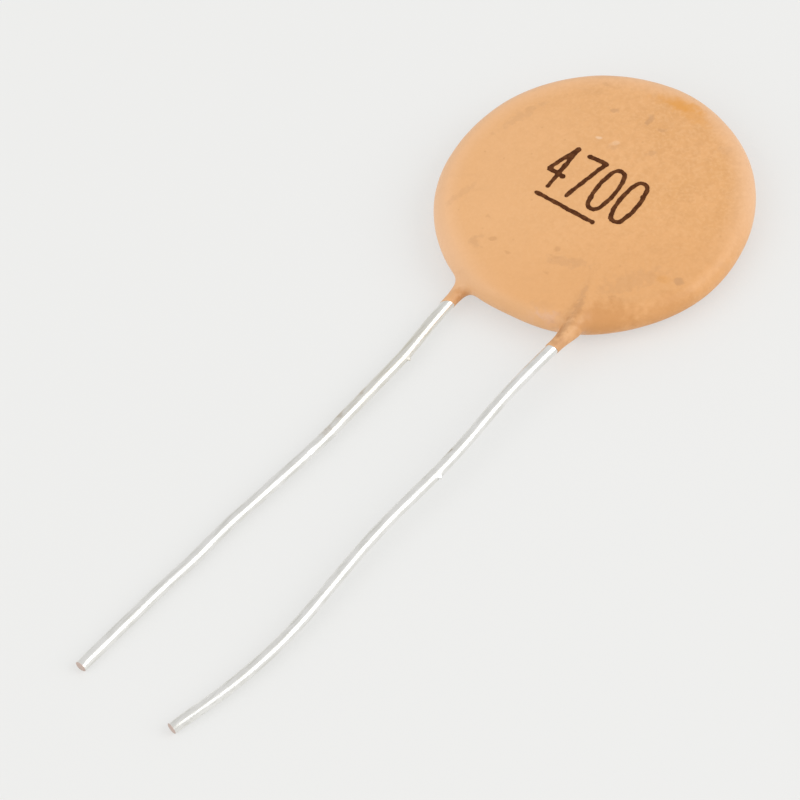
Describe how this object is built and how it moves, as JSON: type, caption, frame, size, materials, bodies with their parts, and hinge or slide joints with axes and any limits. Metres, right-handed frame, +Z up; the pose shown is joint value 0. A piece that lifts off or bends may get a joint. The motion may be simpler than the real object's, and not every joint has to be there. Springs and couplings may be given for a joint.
{
  "type": "ceramic disc capacitor",
  "caption": "Round flat resin-dipped ceramic capacitor lying on its face, with long, slightly wavy tinned wire leads.",
  "frame": {"origin": "centre of the footprint, on the surface that the part lies on", "axes": "+Z up, out of the face that carries the printed number; +Y from the leads' cut ends towards the disc; +X to the right of the number"},
  "size_m": [0.0154, 0.0426, 0.0023],
  "materials": {
    "resin_coating": "satin",
    "fired_ceramic": "matte",
    "fired_silver": "matte",
    "tinned_wire": "satin",
    "solder": "satin"
  },
  "bodies": {
    "root": {"coating": "resin_coating", "ceramic_disc": "fired_ceramic", "front_electrode": "fired_silver", "rear_electrode": "fired_silver", "front_lead": "tinned_wire", "rear_lead": "tinned_wire", "front_solder": "solder", "rear_solder": "solder"}
  },
  "joints": []
}
